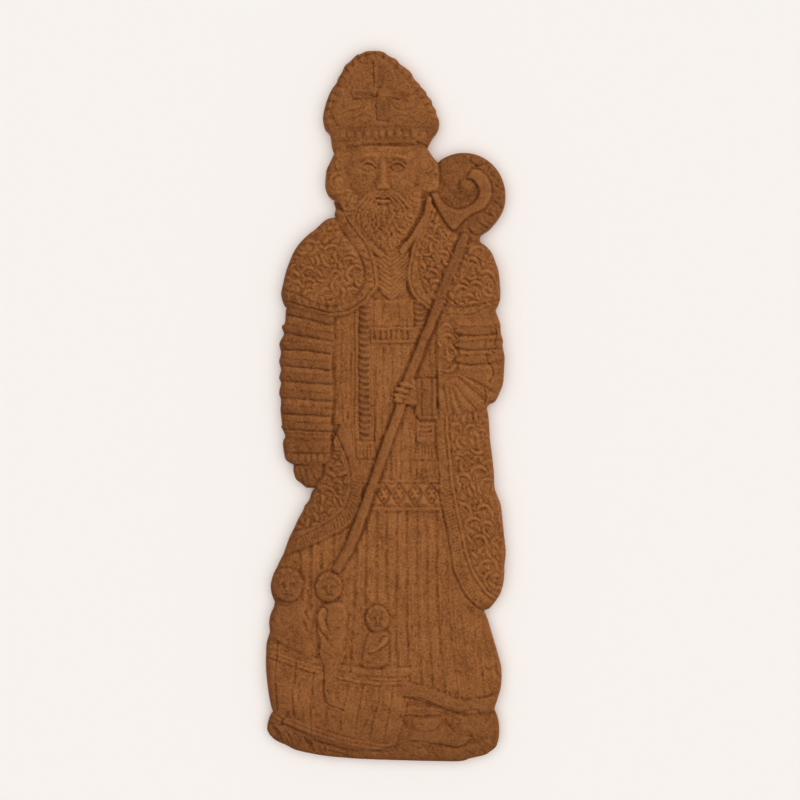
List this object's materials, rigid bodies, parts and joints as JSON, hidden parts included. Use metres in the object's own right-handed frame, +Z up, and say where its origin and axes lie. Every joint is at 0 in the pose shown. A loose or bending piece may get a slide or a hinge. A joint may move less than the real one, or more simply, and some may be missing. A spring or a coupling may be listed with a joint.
{
  "type": "speculoos cookie",
  "caption": "Spiced brown sugar cookie pressed in a carved mould as a standing bishop with crozier and children in a tub, lying flat.",
  "frame": {"origin": "centre of the cookie's outline on its flat underside", "axes": "+Z up through the relief, +Y along the figure towards the tip of the mitre, +X towards the crook side"},
  "size_m": [0.0952, 0.28, 0.0107],
  "materials": {
    "baked_dough": "matt baked brown sugar dough, slightly grainy"
  },
  "bodies": {
    "root": {"speculoos": "baked_dough"}
  },
  "joints": []
}
